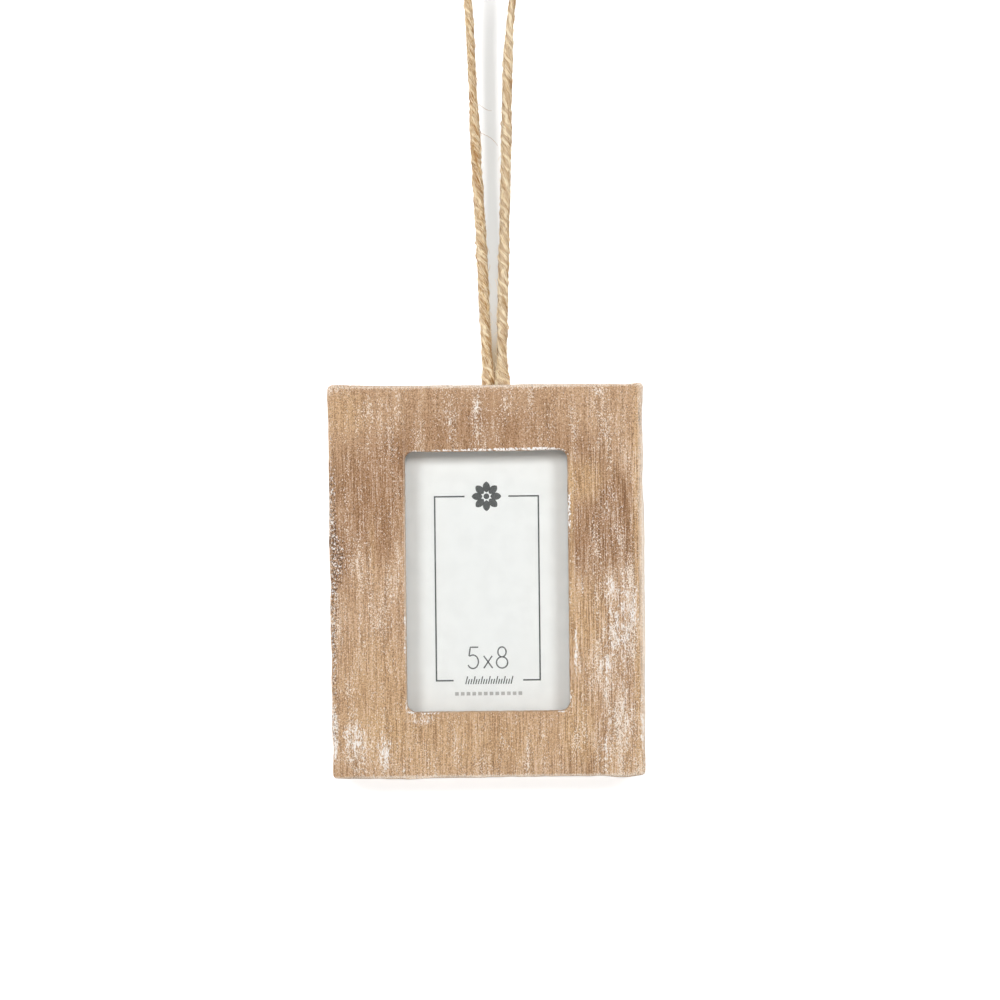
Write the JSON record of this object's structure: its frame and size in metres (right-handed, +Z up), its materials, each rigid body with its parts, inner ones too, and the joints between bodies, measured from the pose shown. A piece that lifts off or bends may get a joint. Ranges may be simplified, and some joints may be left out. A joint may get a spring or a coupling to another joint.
{
  "type": "picture frame ornament",
  "caption": "Small hanging picture frame: a whitewashed wooden board with a glazed window, a printed card insert, turn buttons on the back and a loop of jute twine.",
  "frame": {"origin": "where the hook touches, on the inside of the top of the twine loop", "axes": "+Z up, -Y out of the frame's front towards the viewer, +X to the viewer's right"},
  "size_m": [0.0814, 0.0151, 0.2368],
  "materials": {
    "whitewashed_wood": "brushed and rubbed with thin white paint, matte",
    "clear_glass": "clear float glass",
    "white_card": "smooth white card, matte",
    "grey_ink": "dark grey print, matte",
    "grey_board": "plain grey board",
    "brown_hardboard": "smooth brown hardboard, matte",
    "jute_twine": "twisted natural jute",
    "plated_steel": "thin bright plating, satin",
    "screw_steel": "bright plated"
  },
  "bodies": {
    "frame": {"frame_board": "whitewashed_wood", "glass_pane": "clear_glass", "photo_insert": "white_card", "insert_print": "grey_ink", "filler_card": "grey_board", "backing_board": "brown_hardboard", "twine_loop": "jute_twine", "button_screw_left": "screw_steel", "button_screw_right": "screw_steel"},
    "left_button": {"turn_button_left": "plated_steel"},
    "right_button": {"turn_button_right": "plated_steel"}
  },
  "joints": [
    {"name": "left_button_turn", "type": "hinge", "parent": "frame", "child": "left_button", "pos_m": [-0.03572, 0.00635, -0.18355], "axis": [0, 1, 0], "continuous": true},
    {"name": "right_button_turn", "type": "hinge", "parent": "frame", "child": "right_button", "pos_m": [0.03072, 0.00635, -0.18355], "axis": [0, 1, 0], "continuous": true}
  ]
}
